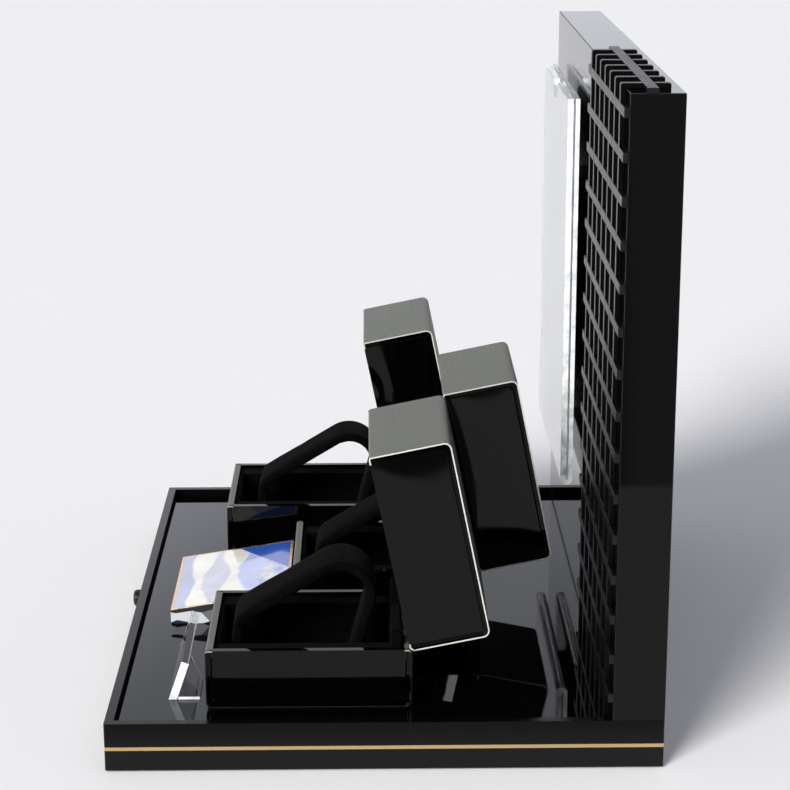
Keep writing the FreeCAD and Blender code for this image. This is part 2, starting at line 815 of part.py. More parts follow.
def boxLiner(side, place):
    """Suede-covered insert: ledges round a deep pit, and a ridge that hides the hinge."""
    body = boxBody(side, "base_liner", place, False)
    foot = lowerHalf.level("boxHigh - wrapThick - boxFloor")
    ledge = lowerHalf.level("ledgeDrop")
    block = newSketch(body, "block", "XY_Plane", foot)
    addRectangle(block, "sideWall - boxWide/2", f"{boxFront} + endWall",
                 "boxWide/2 - sideWall", f"{boxRear} - endWall")
    pad(body, block, "boxHigh - wrapThick - boxFloor - ledgeDrop")

    ridgeWidth = "(boxWide - 2*(sideWall + liningThick + liningFit))"
    ridge = newSketch(body, "ridge", "YZ_Plane")
    addRectangle(ridge, "-ridgeFront", ledge, "ridgeDeep - ridgeFront", "ridgeHigh")
    raised = pad(body, ridge, ridgeWidth, middle=True)
    crest = edgesAt(raised, "X", [("-ridgeFront", "ridgeHigh"), ("ridgeDeep - ridgeFront", "ridgeHigh")])
    fillet(body, raised, crest, "ridgeRound")

    pit = newSketch(body, "pit", "XY_Plane", ledge)
    addRectangle(pit, "sideWall + sideLedge - boxWide/2", f"{boxFront} + endWall + frontLedge",
                 "boxWide/2 - sideWall - sideLedge", f"{boxRear} - endWall - rearLedge")
    pocket(body, pit, "boxHigh - wrapThick - boxFloor - ledgeDrop - linerFloor")

    mortise = newSketch(body, "leaf_mortise", "YZ_Plane")
    addRectangle(mortise, f"{boxRear} - endWall - leafThick - leafFit", "-leafDrop - leafFit",
                 boxRear, "0")
    pocket(body, mortise, "hingeLong + 2*leafFit + knuckleGap", middle=True)
    return body


def lidLining(side, place):
    """Thin suede tray inside the lid, set back from the rim."""
    body = boxBody(side, "lid_lining", place, True)
    start = upperHalf.level("liningDrop")
    block = newSketch(body, "block", "XY_Plane", start)
    addRectangle(block, "sideWall - boxWide/2", f"{boxFront} + endWall",
                 "boxWide/2 - sideWall", f"{boxRear} - endWall")
    pad(body, block, "lidHigh - wrapThick - lidRoof - liningDrop")
    hollow = newSketch(body, "inside", "XY_Plane", start)
    addRectangle(hollow, "sideWall + liningThick - boxWide/2", f"{boxFront} + endWall + liningThick",
                 "boxWide/2 - sideWall - liningThick", f"{boxRear} - endWall - liningThick")
    pocket(body, hollow, "lidHigh - wrapThick - lidRoof - liningDrop - liningThick", back=True)
    mortise = newSketch(body, "leaf_mortise", "YZ_Plane")
    addRectangle(mortise, f"{boxRear} - endWall - leafThick - leafFit", "0",
                 boxRear, "leafDrop + leafFit")
    pocket(body, mortise, "hingeLong + 2*leafFit + knuckleGap", middle=True)
    return body


def hingeLeaf(side, place, half, first, count):
    """An angled leaf behind the end wall, with every second knuckle of the barrel."""
    body = boxBody(side, "hinge_leaf_" + half.part, place, half is upperHalf)
    back = f"({boxRear} - endWall)"
    plate = newSketch(body, "angle", "YZ_Plane")
    clear = "(-barrelWide/2 - barrelFit)"
    addOutline(plate, [
        (f"{back} - leafThick", f"{half.sign}leafDrop"),
        (back, f"{half.sign}leafDrop"),
        (back, half.level("leafThick")),
        (clear, half.level("leafThick")),
        (clear, half.level("0")),
        (f"{back} - leafThick", half.level("0")),
    ])
    pad(body, plate, "hingeLong", middle=True)

    segment = f"(hingeLong/{knuckleCount})"
    start = f"({segment}*{first} - hingeLong/2 + knuckleGap/2)"
    tongue = newSketch(body, "tongue", "YZ_Plane", start)
    addRectangle(tongue, clear, half.level("leafThick"), "0", half.level("0"))
    tongues = pad(body, tongue, f"{segment} - knuckleGap")
    knuckle = newSketch(body, "knuckle", "YZ_Plane", start)
    addCircle(knuckle, "0", "0", "barrelWide/2")
    knuckles = pad(body, knuckle, f"{segment} - knuckleGap")
    repeat(body, [tongues, knuckles], "X_Axis", f"2*{segment}", count)
    bore = newSketch(body, "pin_bore", "YZ_Plane")
    addCircle(bore, "0", "0", "pinWide/2 + pinFit")
    pocket(body, bore, "hingeLong", middle=True)
    return body


def hingePin(side, place):
    body = boxBody(side, "hinge_pin", place, False)
    outline = newSketch(body, "pin", "YZ_Plane")
    addCircle(outline, "0", "0", "pinWide/2")
    pad(body, outline, "hingeLong", middle=True)
    return body


def watchCuff(side, place, back):
    """A suede band bent over: a short front leg, a long slope, a round crown and a rear leg."""
    across, along, level = place
    body = boxBody(side, "cuff", (across, f"{along} + {back}", level), False)
    foot = lowerHalf.level("boxHigh - wrapThick - boxFloor - linerFloor - cuffFit")
    knee = (f"{boxFront} + cuffKneeBack", lowerHalf.level("boxHigh - cuffKneeHigh"))
    crown = (f"{boxFront} + cuffCrownBack", lowerHalf.level("boxHigh - cuffCrownHigh"))
    section = newSketch(body, "outside", "YZ_Plane")
    addOutline(section, [
        (f"{boxFront} + cuffFrontFoot", foot),
        knee,
        crown,
        (f"{boxFront} + cuffRearFoot", foot),
    ])
    solid = pad(body, section, "cuffWide", middle=True)
    solid = fillet(body, solid, edgesAt(solid, "X", [knee]), "cuffKneeRound")
    solid = fillet(body, solid, edgesAt(solid, "X", [crown]), "cuffCrownRound")
    low = worth(foot)
    half = worth("cuffWide/2")
    openFaces = []
    for number, face in enumerate(solid.Shape.Faces, start=1):
        centre = face.CenterOfMass
        if abs(abs(centre.x) - half) < 1e-4 or abs(centre.z - low) < 1e-4:
            openFaces.append(f"Face{number}")
    band = body.newObject("PartDesign::Thickness", "band")
    band.Base = (solid, openFaces)
    bind(band, "Value", "cuffThick")
    band.Mode = "Skin"
    band.Join = "Intersection"
    band.Reversed = True
    doc.recompute()
    return body


def watchBox(side, across, forward, cuffBack):
    """All pieces of one box, placed by its hinge axis."""
    along = f"{frontFace} + boxRowPlace + {forward} + boxLong - hingeInset"
    place = (across, along, f"{trayTop} + boxHigh + rimGap/2")
    return [
        boxShell(side, place, lowerHalf),
        boxWrap(side, place, lowerHalf),
        boxLiner(side, place),
        watchCuff(side, place, cuffBack),
        hingeLeaf(side, place, lowerHalf, 0, (knuckleCount + 1) // 2),
        hingePin(side, place),
        hingeLeaf(side, place, upperHalf, 1, knuckleCount // 2),
        boxShell(side, place, upperHalf),
        boxWrap(side, place, upperHalf),
        lidLining(side, place),
    ]


# The whole stand

pieces = [
    baseCarcass(),
    trayFloor(),
    bottomCover(),
    goldTrim(),
    rubberFeet(),
    frontStud(),
    backPanel(),
    panelBolts(),
    latticeCrossBars(),
    latticeTopBar(),
    posterHolder(),
    posterSheet(),
    holderSpacer("holder_spacer_lower", f"({holderFoot} + railInset)"),
    holderSpacer("holder_spacer_upper", f"({holderFoot} + holderHigh - railInset)"),
    pictureBlock(),
    pictureBorder(),
    pictureCard(),
    nameBlockUpright(),
    nameBlockFoot(),
]
pieces += [latticeSlat(number) for number in range(slatCount)]
pieces += watchBox("right", "boxPitch - boxShift", "0", "0")
pieces += watchBox("centre", "-boxShift", "boxStep", "0")
pieces += watchBox("left", "-boxPitch - boxShift", "-leftLead", "leftCuffBack")
doc.recompute()

# Checks, then one file for each piece
for item in doc.Objects:
    if "Invalid" in item.State or "Error" in item.State:
        raise RuntimeError(f"{item.Label} failed: {item.State}")
os.makedirs("parts", exist_ok=True)
for piece in pieces:
    if piece.Shape.isNull() or not piece.Shape.isValid():
        raise RuntimeError(f"{piece.Label} has no valid shape")
for piece in pieces:
    piece.Shape.exportStep(f"parts/{piece.Label}.step")
print(f"{len(pieces)} pieces written")
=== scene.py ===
import bmesh
import bpy
import json
import math
from mathutils import Matrix, Vector, noise


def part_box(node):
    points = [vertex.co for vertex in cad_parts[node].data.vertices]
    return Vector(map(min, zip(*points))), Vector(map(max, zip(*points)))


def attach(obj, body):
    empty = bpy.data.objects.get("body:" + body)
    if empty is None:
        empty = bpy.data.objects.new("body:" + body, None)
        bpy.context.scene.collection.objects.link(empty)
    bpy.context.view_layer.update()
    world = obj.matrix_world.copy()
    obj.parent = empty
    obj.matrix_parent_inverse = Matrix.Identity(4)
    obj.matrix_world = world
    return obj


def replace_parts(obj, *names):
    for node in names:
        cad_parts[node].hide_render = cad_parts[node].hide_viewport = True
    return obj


# Watch display stand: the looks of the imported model.
# Metres, X to the right, Y to the back, Z up, the floor at zero.

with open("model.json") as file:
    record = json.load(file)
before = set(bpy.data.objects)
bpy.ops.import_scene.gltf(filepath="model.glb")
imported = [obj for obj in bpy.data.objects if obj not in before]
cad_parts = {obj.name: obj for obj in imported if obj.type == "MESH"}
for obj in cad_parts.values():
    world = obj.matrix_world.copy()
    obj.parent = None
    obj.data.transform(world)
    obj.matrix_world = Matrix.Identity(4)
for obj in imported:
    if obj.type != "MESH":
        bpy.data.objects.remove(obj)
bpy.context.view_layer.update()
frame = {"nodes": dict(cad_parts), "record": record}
nodes = frame["nodes"]
record = frame["record"]
bodyOf = {name: body for body, names in record["behaviour"]["bodies"].items() for name in names}
slotOf = {row["node"]: row["material_slot"] for row in record["subparts"]}
sides = ("right", "centre", "left")
slats = [f"lattice_slat_{number}" for number in range(1, 8)]
print("frame loaded:", len(nodes), "nodes")


# Camera, from the vanishing lines of the photograph

cameraSizes = {
    "place": (1.247161, -0.005307, 0.508525),
    "yaw": -0.01293,
    "pitch": 0.27793,
    "roll": -0.00196,
    "lens": 97.206,
}


def addCamera():
    yaw, pitch, roll = (cameraSizes[key] for key in ("yaw", "pitch", "roll"))
    level = Vector((-math.cos(yaw), -math.sin(yaw), 0))
    side = Vector((-math.sin(yaw), math.cos(yaw), 0))
    up = Vector((0, 0, 1))
    ahead = level * math.cos(pitch) - up * math.sin(pitch)
    over = up * math.cos(pitch) + level * math.sin(pitch)
    across = side * math.cos(roll) + over * math.sin(roll)
    over = over * math.cos(roll) - side * math.sin(roll)
    camera = bpy.data.objects.new("camera", bpy.data.cameras.new("camera"))
    camera.data.lens = cameraSizes["lens"]
    camera.data.sensor_width = 36
    camera.data.clip_start, camera.data.clip_end = 0.05, 60
    turned = Matrix((across, over, -ahead)).transposed().to_4x4()
    camera.matrix_world = Matrix.Translation(cameraSizes["place"]) @ turned
    bpy.context.scene.collection.objects.link(camera)
    bpy.context.scene.camera = camera


addCamera()
bpy.context.scene.view_settings.view_transform = "Standard"


# Finishes: node materials with patterns in object space, in metres


class Finish:
    def __init__(self, name, shader=None):
        self.material = bpy.data.materials.new(name)
        self.material.use_nodes = True
        self.tree = self.material.node_tree
        self.shader = self.tree.nodes["Principled BSDF"]
        for socket, value in (shader or {}).items():
            self.shader.inputs[socket].default_value = value
        self.place = self.add("ShaderNodeTexCoord").outputs["Object"]

    def add(self, kind, inputs=None, **settings):
        node = self.tree.nodes.new(kind)
        for name, value in settings.items():
            setattr(node, name, value)
        for socket, value in (inputs or {}).items():
            if isinstance(value, bpy.types.NodeSocket):
                self.tree.links.new(value, node.inputs[socket])
            else:
                node.inputs[socket].default_value = value
        return node

    def stretched(self, scale, turn=(0, 0, 0), shift=(0, 0, 0)):
        inputs = {"Vector": self.place, "Scale": scale, "Rotation": turn, "Location": shift}
        return self.add("ShaderNodeMapping", inputs).outputs[0]

    def noise(self, scale, detail=3, roughness=0.5, vector=None):
        inputs = {"Vector": vector or self.place, "Scale": scale}
        inputs |= {"Detail": detail, "Roughness": roughness}
        return self.add("ShaderNodeTexNoise", inputs).outputs["Fac"]

    def cells(self, output, scale, vector=None):
        inputs = {"Vector": vector or self.place, "Scale": scale}
        return self.add("ShaderNodeTexVoronoi", inputs).outputs[output]

    def parts(self, vector=None):
        return self.add("ShaderNodeSeparateXYZ", {0: vector or self.place}).outputs

    def spread(self, value, low, high, toLow, toHigh):
        # from one range to another, and no further
        inputs = {"Value": value, "From Min": low, "From Max": high}
        inputs |= {"To Min": toLow, "To Max": toHigh}
        return self.add("ShaderNodeMapRange", inputs, clamp=True).outputs[0]

    def math(self, operation, first, second=0.0):
        return self.add("ShaderNodeMath", {0: first, 1: second}, operation=operation).outputs[0]

    def mix(self, share, first, second):
        # the colour sockets of the node are its seventh and eighth
        inputs = {0: share, 6: first, 7: second}
        return self.add("ShaderNodeMix", inputs, data_type="RGBA").outputs[2]

    def facing(self, axis):
        # how far the surface faces along an axis, from 0 to 1
        normal = self.add("ShaderNodeNewGeometry").outputs["Normal"]
        return self.math("ABSOLUTE", self.parts(normal)["XYZ".index(axis)])

    def feed(self, socket, value):
        self.tree.links.new(value, self.shader.inputs[socket])

    def relief(self, height, depth, strength=1.0):
        # stacks on the relief already there
        inputs = {"Height": height, "Distance": depth, "Strength": strength}
        before = self.shader.inputs["Normal"]
        if before.is_linked:
            inputs["Normal"] = before.links[0].from_socket
        self.feed("Normal", self.add("ShaderNodeBump", inputs).outputs[0])


def grey(level, tint=0.0):
    return (level, level * (1 + tint * 0.2), level * (1 + tint), 1)


def satinLacquer():
    # black satin board of the base and the panel: soft orange peel, faint haze and dust
    finish = Finish("satin_black_lacquer", {"Specular IOR Level": 0.26})
    haze = finish.noise(9, 4)
    speck = finish.noise(1900, 2)
    dust = finish.spread(speck, 0.72, 0.78, 0, 1)
    shade = finish.mix(haze, grey(0.001), grey(0.0018, 0.08))
    finish.feed("Base Color", finish.mix(finish.math("MULTIPLY", dust, 0.5), shade, grey(0.03)))
    finish.feed("Roughness", finish.spread(finish.noise(34, 5), 0.3, 0.7, 0.11, 0.17))
    finish.relief(finish.noise(420, 2), 0.00002, 0.35)
    return finish.material


def panelLacquer():
    # polished black panel: a clear mirror, with the slightest unevenness and some dust
    finish = Finish("mirror_black_lacquer", {"Specular IOR Level": 0.5})
    dust = finish.spread(finish.noise(1700, 2), 0.74, 0.8, 0, 1)
    speckled = finish.math("MULTIPLY", dust, 0.3)
    finish.feed("Base Color", finish.mix(speckled, grey(0.0007), grey(0.03)))
    gloss = finish.spread(finish.noise(11, 5), 0.35, 0.75, 0.02, 0.05)
    # the eased edges are dull
    flat = finish.math("MAXIMUM", finish.facing("X"), finish.facing("Y"))
    flat = finish.math("MAXIMUM", flat, finish.facing("Z"))
    dull = finish.spread(flat, 0.9, 0.97, 0.5, 0)
    finish.feed("Roughness", finish.math("ADD", gloss, dull))
    finish.relief(finish.noise(16, 2), 0.00003, 0.2)
    return finish.material


def trayGloss():
    # mirror black sheet, with the slightest waviness and some dust
    shader = {"Specular IOR Level": 0.5, "Specular Tint": (0.97, 0.98, 1, 1)}
    finish = Finish("mirror_black_sheet", shader)
    dust = finish.spread(finish.noise(1500, 2), 0.74, 0.8, 0, 1)
    speckled = finish.math("MULTIPLY", dust, 0.4)
    finish.feed("Base Color", finish.mix(speckled, grey(0.0008), grey(0.04)))
    finish.feed("Roughness", finish.spread(finish.noise(14, 5), 0.35, 0.75, 0.015, 0.045))
    finish.relief(finish.noise(22, 2), 0.00004, 0.25)
    return finish.material


def boxLacquer():
    # piano black of the boxes' sides
    finish = Finish("piano_black_lacquer", {"Specular IOR Level": 0.5})
    finish.feed("Base Color", finish.mix(finish.noise(60, 4), grey(0.0004), grey(0.0009, 0.3)))
    finish.feed("Roughness", finish.spread(finish.noise(45, 5), 0.35, 0.7, 0.025, 0.07))
    finish.relief(finish.noise(30, 2), 0.00006, 0.3)
    return finish.material


def brushedMetal(name, colour, dark, stretch, rough=(0.2, 0.36)):
    finish = Finish(name, {"Metallic": 1.0})
    drawn = finish.noise(1, 6, 0.6, finish.stretched(stretch))
    finish.feed("Base Color", finish.mix(finish.spread(drawn, 0.25, 0.75, 0, 1), dark, colour))
    finish.feed("Roughness", finish.spread(drawn, 0.3, 0.7, *rough))
    finish.relief(drawn, 0.00001, 0.4)
    return finish.material


def latticePaint():
    # satin dark grey; the bars' near ends, on the side the key falls on, are painted lighter:
    # painted light
    finish = Finish("satin_grey_paint", {"Specular IOR Level": 0.2})
    grain = finish.noise(1, 5, 0.6, finish.stretched((120, 900, 900)))
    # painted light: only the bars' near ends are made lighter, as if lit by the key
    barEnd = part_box("lattice_cross_bars")[1].x - 0.0004
    cut = finish.math("GREATER_THAN", finish.parts()[0], barEnd)
    shade = finish.mix(grain, grey(0.0012), grey(0.003, 0.05))
    sawnLit = finish.mix(grain, grey(0.008), grey(0.016, 0.02))
    finish.feed("Base Color", finish.mix(cut, shade, sawnLit))
    finish.feed("Roughness", finish.spread(finish.noise(90, 4), 0.3, 0.7, 0.29, 0.36))
    finish.relief(finish.noise(2200, 3), 0.000008, 0.4)
    return finish.material


def clearAcrylic():
    # clear polished sheet with a faint waviness and a few hazy patches
    finish = Finish("clear_acrylic", {"IOR": 1.49, "Transmission Weight": 1.0})
    tint = finish.mix(finish.noise(60, 3), (0.96, 0.98, 0.985, 1), (0.99, 1, 1, 1))
    finish.feed("Base Color", tint)
    finish.feed("Roughness", finish.spread(finish.noise(300, 4), 0.55, 0.8, 0.0, 0.05))
    finish.relief(finish.noise(35, 2), 0.00002, 0.06)
    return finish.material


def glowingSawnAcrylic():
    # the sheet's cut ends are white like a frosted cut, with fine saw marks, and glow faintly: a
    # painted glow, emission standing in for light gathered in the sheet
    finish = Finish("glowing_sawn_acrylic_end", {"Emission Color": (0.96, 0.98, 1, 1)})
    marks = finish.noise(700, 4, 0.6)
    cloud = finish.noise(160, 3)
    shade = finish.mix(cloud, (0.62, 0.65, 0.67, 1), (0.97, 0.985, 0.99, 1))
    finish.feed("Base Color", shade)
    # painted glow: emission on the cut ends, stronger in the lighter patches
    finish.feed("Emission Strength", finish.spread(cloud, 0.35, 0.6, 0.03, 0.26))
    finish.feed("Roughness", finish.spread(marks, 0.3, 0.7, 0.18, 0.3))
    finish.relief(marks, 0.00002, 0.3)
    return finish.material


def paintedRefractionFacets():
    # the picture block's near side, painted opaque: pale, dark and gilt facets, a painted
    # refraction and reflection in place of the clear block
    finish = Finish("painted_refraction_facets")
    slanted = finish.stretched((1, 60, 150), (0.7, 0, 0))
    chance = finish.parts(finish.cells("Color", 1, slanted))[0]
    brightRefraction = finish.spread(chance, 0.55, 0.6, 0, 1)
    # painted refraction: the gilt facets stand for the gold border seen through the block
    gilt = finish.spread(chance, 0.3, 0.26, 0, 1)
    tone = finish.mix(brightRefraction, (0.03, 0.035, 0.045, 1), (0.7, 0.72, 0.75, 1))
    tone = finish.mix(gilt, tone, (0.5, 0.33, 0.16, 1))
    finish.feed("Base Color", tone)
    finish.feed("Roughness", finish.spread(finish.noise(300, 4), 0.3, 0.7, 0.02, 0.06))
    return finish.material


def leatherette():
    # grey-green wrap with a fine pebbled grain; its cut edges along both sides show the pale
    # backing on the lids, and are near black on the bases, which lie lower: painted shade
    finish = Finish("grey_green_leatherette", {
        "Specular IOR Level": 0.4, "Sheen Weight": 0.08, "Sheen Roughness": 0.5,
    })
    pebble = finish.cells("Distance", 1500)
    crease = finish.noise(700, 5, 0.6)
    cloud = finish.noise(18, 4)
    shade = finish.mix(cloud, (0.089, 0.095, 0.074, 1), (0.12, 0.127, 0.1, 1))
    grain = finish.spread(pebble, 0.1, 0.6, 0, 1)
    shade = finish.mix(finish.math("MULTIPLY", grain, 0.3), shade, (0.055, 0.058, 0.048, 1))
    edge = finish.spread(finish.facing("X"), 0.3, 0.6, 0, 1)
    # painted shade: below the lids' height the cut edges turn near black, for the bases' edges
    # low in shade
    pale = finish.spread(finish.parts()[2], 0.0555, 0.0575, 0, 1)
    fibre = finish.mix(finish.noise(900, 4), (0.5, 0.5, 0.44, 1), (0.8, 0.8, 0.72, 1))
    fibre = finish.mix(pale, (0.0015, 0.0016, 0.0014, 1), fibre)
    glossy = finish.math("MULTIPLY", edge, finish.math("SUBTRACT", 1, pale))
    finish.feed("Base Color", finish.mix(edge, shade, fibre))
    rough = finish.spread(crease, 0.3, 0.7, 0.42, 0.6)
    smoother = finish.math("MULTIPLY", glossy, 0.34)
    finish.feed("Roughness", finish.math("SUBTRACT", rough, smoother))
    finish.relief(grain, 0.00005, 0.45)
    finish.relief(crease, 0.00004, 0.4)
    return finish.material


def suede():
    # black suede: short nap in soft patches, with stray pale fibres
    finish = Finish("black_suede", {
        "Specular IOR Level": 0.03, "Sheen Weight": 0.03, "Sheen Roughness": 0.4,
        "Sheen Tint": (0.5, 0.5, 0.52, 1),
    })
    nap = finish.noise(240, 5, 0.65)
    fibre = finish.noise(2600, 3, 0.6)
    drawn = finish.stretched((1, 2.2, 0.7))
    stray = finish.spread(finish.noise(1700, 2, 0.5, drawn), 0.66, 0.74, 0, 0.6)
    shade = finish.mix(finish.spread(nap, 0.3, 0.7, 0, 1), grey(0.0008), grey(0.003, 0.02))
    finish.feed("Base Color", finish.mix(stray, shade, grey(0.014)))
    finish.feed("Roughness", finish.spread(nap, 0.3, 0.7, 0.86, 1.0))
    finish.relief(nap, 0.00022, 0.5)
    finish.relief(fibre, 0.00016, 0.8)
    return finish.material


def picturePrint():
    # a made-up view: rolling bands from cream to pale blue, with a deep blue corner
    low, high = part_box("picture_card")
    span = high - low
    finish = Finish("glossy_picture", {
        "Specular IOR Level": 0.5, "Roughness": 0.12, "Coat Weight": 0.6, "Coat Roughness": 0.03,
    })
    scale = (1 / span.x, 1 / span.y, 1)
    whole = finish.stretched(scale, shift=(-low.x / span.x, -low.y / span.y, 0))
    across, along = finish.parts(whole)[:2]
    cloud = finish.noise(46, 6, 0.62)
    rise = finish.spread(along, 0.0, 1.0, 0, 1)
    shade = finish.mix(rise, (0.36, 0.42, 0.72, 1), (0.30, 0.37, 0.78, 1))
    shade = finish.mix(finish.spread(cloud, 0.44, 0.62, 0, 0.9), shade, (0.78, 0.76, 0.7, 1))
    bands = (
        # height, swell, waves, start, colour
        (0.78, 0.05, 7.0, 0.4, (0.45, 0.50, 0.78, 1)),
        (0.60, 0.06, 5.5, 2.1, (0.80, 0.78, 0.70, 1)),
        (0.42, 0.05, 8.0, 4.0, (0.52, 0.54, 0.62, 1)),
        (0.26, 0.05, 6.0, 1.2, (0.83, 0.80, 0.74, 1)),
        (0.12, 0.03, 9.0, 3.0, (0.40, 0.44, 0.62, 1)),
    )
    for height, swell, waves, start, colour in bands:
        run = finish.math("MULTIPLY_ADD", across, waves)
        run.node.inputs[2].default_value = start
        edge = finish.math("MULTIPLY_ADD", finish.math("SINE", run), swell)
        edge.node.inputs[2].default_value = height
        ragged = finish.math("ADD", edge, finish.math("MULTIPLY", cloud, 0.12))
        under = finish.spread(finish.math("SUBTRACT", ragged, along), 0.05, 0.075, 0, 1)
        lighter = tuple(min(1, c * 1.25) for c in colour)
        tone = finish.mix(finish.spread(cloud, 0.35, 0.65, 0, 1), colour, lighter)
        shade = finish.mix(under, shade, tone)
    corner = finish.math("ADD", along, finish.math("MULTIPLY", across, -0.9))
    deep = finish.spread(corner, 0.52, 0.53, 0, 1)
    blue = finish.mix(cloud, (0.012, 0.06, 0.36, 1), (0.05, 0.16, 0.62, 1))
    finish.feed("Base Color", finish.mix(deep, shade, blue))
    finish.relief(finish.noise(800, 3), 0.00001, 0.2)
    return finish.material


def posterCard():
    # white sheet with faint rings
    low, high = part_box("poster_sheet")
    centre = (low + high) / 2
    finish = Finish("white_poster", {"Specular IOR Level": 0.5, "Roughness": 0.35})
    centred = finish.stretched((1, 1, 1), shift=(-centre.x, 0, -centre.z))
    across, _, up = finish.parts(centred)
    squares = [finish.math("MULTIPLY", part, part) for part in (across, up)]
    away = finish.math("SQRT", finish.math("ADD", *squares))
    wave = finish.math("SINE", finish.math("MULTIPLY", away, 190))
    ring = finish.spread(finish.math("ABSOLUTE", wave), 0.0, 0.14, 1, 0)
    inside = finish.spread(away, 0.055, 0.056, 1, 0)
    paper = finish.mix(finish.noise(30, 4), (0.86, 0.86, 0.88, 1), (0.93, 0.93, 0.94, 1))
    line = finish.math("MULTIPLY", ring, inside)
    finish.feed("Base Color", finish.mix(line, paper, (0.62, 0.63, 0.67, 1)))
    finish.relief(finish.noise(1200, 3), 0.00001, 0.3)
    return finish.material


def moulded(name, level, rough, scale, depth):
    # rubber, board and satin plastic
    finish = Finish(name, {"Specular IOR Level": 0.4})
    shade = finish.mix(finish.noise(scale / 6, 4), grey(level * 0.7), grey(level * 1.3))
    finish.feed("Base Color", shade)
    uneven = finish.noise(scale / 3, 4)
    finish.feed("Roughness", finish.spread(uneven, 0.3, 0.7, rough - 0.08, rough + 0.08))
    finish.relief(finish.noise(scale, 3), depth, 0.6)
    return finish.material


gilt = (0.92, 0.68, 0.36, 1), (0.72, 0.48, 0.2, 1)
paleGilt = (0.93, 0.7, 0.46, 1), (0.8, 0.55, 0.33, 1)
finishes = {
    "black_lacquer": satinLacquer(),
    "panel_lacquer": panelLacquer(),
    "tray_gloss": trayGloss(),
    "cover_board": moulded("matt_black_board", 0.018, 0.8, 900, 0.00005),
    "zinc_steel": brushedMetal("zinc_steel", grey(0.62), grey(0.36), (500, 500, 90)),
    "gold": brushedMetal("gold_strip", *gilt, (40, 40, 2600), (0.16, 0.28)),
    "foot_rubber": moulded("foot_rubber", 0.012, 0.75, 1400, 0.00006),
    "stud_black": moulded("stud_black", 0.006, 0.32, 1500, 0.00002),
    "lattice_grey": latticePaint(),
    "clear_acrylic": clearAcrylic(),
    "poster_card": posterCard(),
    "spacer_black": moulded("spacer_black", 0.008, 0.5, 900, 0.00003),
    "picture_print": picturePrint(),
    "border_gold": brushedMetal("border_gold", *paleGilt, (700, 60, 700), (0.22, 0.34)),
    "box_lacquer": boxLacquer(),
    "leatherette": leatherette(),
    "suede": suede(),
    "hinge_steel": brushedMetal("hinge_steel", grey(0.6), grey(0.3), (60, 1400, 1400)),
}
for name, node in nodes.items():
    node.data.materials.clear()
    node.data.materials.append(finishes[slotOf[name]])
print("finishes made:", len(finishes))


# Helpers for the pieces


def addPiece(name, mesh, body, slot):
    piece = bpy.data.objects.new(name, mesh)
    bpy.context.scene.collection.objects.link(piece)
    if not mesh.materials:
        mesh.materials.append(finishes[slot])
    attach(piece, body)
    return piece


def cadCopy(name):
    # the node's mesh with its loose triangles joined and its flat faces made whole
    shape = bmesh.new()
    shape.from_mesh(nodes[name].data)
    bmesh.ops.remove_doubles(shape, verts=shape.verts, dist=2e-6)
    flat = math.radians(0.5)
    bmesh.ops.dissolve_limit(shape, angle_limit=flat, verts=shape.verts, edges=shape.edges)
    mesh = bpy.data.meshes.new(name + "_copy")
    shape.to_mesh(mesh)
    shape.free()
    mesh.materials.clear()
    for stale in ("custom_normal", "sharp_edge", "sharp_face"):
        if stale in mesh.attributes:
            mesh.attributes.remove(mesh.attributes[stale])
    return mesh


def baked(piece):
    # the piece's mesh with its modifiers worked in
    graph = bpy.context.evaluated_depsgraph_get()
    mesh = bpy.data.meshes.new_from_object(piece.evaluated_get(graph))
    mesh.materials.clear()
    bpy.data.objects.remove(piece)
    return mesh


def rounded(mesh, width, segments=2, sharp=28):
    # every edge sharper than the angle gets a small round that catches the light
    work = bpy.data.objects.new("rounding", mesh)
    bpy.context.scene.collection.objects.link(work)
    for polygon in mesh.polygons:
        polygon.use_smooth = True
    bevel = work.modifiers.new("round", "BEVEL")
    bevel.width = width
    bevel.segments = segments
    bevel.limit_method = "ANGLE"
    bevel.angle_limit = math.radians(sharp)
    bevel.harden_normals = True
    bevel.use_clamp_overlap = True
    weigh = work.modifiers.new("weigh", "WEIGHTED_NORMAL")
    weigh.keep_sharp = False
    weigh.weight = 100
    return baked(work)


def standIn(name, width):
    # a CAD node with eased edges
    mesh = cadCopy(name)
    if name.endswith("_shell"):
        setBack(mesh, plateSizes["back"])
    piece = addPiece(name + "_eased", rounded(mesh, width), bodyOf[name], slotOf[name])
    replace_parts(piece, name)
    return piece


# Side plates of the boxes: a lip, a double groove and a slightly pillowed gloss plate

plateSizes = {
    "back": 0.0022,
    "corner": 0.004,
    "leastCorner": 0.0026,
    "frame": (
        # distance from the box's outline, height against the wrap's edge
        (0.0008, -0.00015), (0.0011, -0.00015), (0.00135, -0.0015), (0.002, -0.0015),
        (0.00215, -0.0008), (0.0024, -0.0008), (0.0026, -0.0015), (0.00295, -0.0015),
        (0.00335, -0.00055), (0.0038, -0.00032),
    ),
    "pillow": 0.00034,
    "power": 2.3,
    "spacing": 0.0018,
    "firstSpacing": 0.4,
    "endSteps": 7,
    "cornerSteps": 7,
    "sideSteps": 16,
    "smooth": 20,
}
hinge = next(row for row in record["behaviour"]["joints"] if row["name"] == "right_lid_hinge")
lidOpen = math.radians(-hinge["range_deg"][0])


def setBack(mesh, depth):
    # moves both sides of a shell in, to make room for the side plates
    shape = bmesh.new()
    shape.from_mesh(mesh)
    ends = [f(vertex.co.x for vertex in shape.verts) for f in (min, max)]
    for end, way in zip(ends, (1, -1)):
        for vertex in shape.verts:
            if abs(vertex.co.x - end) < 0.00045:
                vertex.co.x = end + way * depth
    bmesh.ops.dissolve_degenerate(shape, dist=1e-6, edges=shape.edges)
    bmesh.ops.remove_doubles(shape, verts=shape.verts, dist=2e-6)
    shape.to_mesh(mesh)
    shape.free()


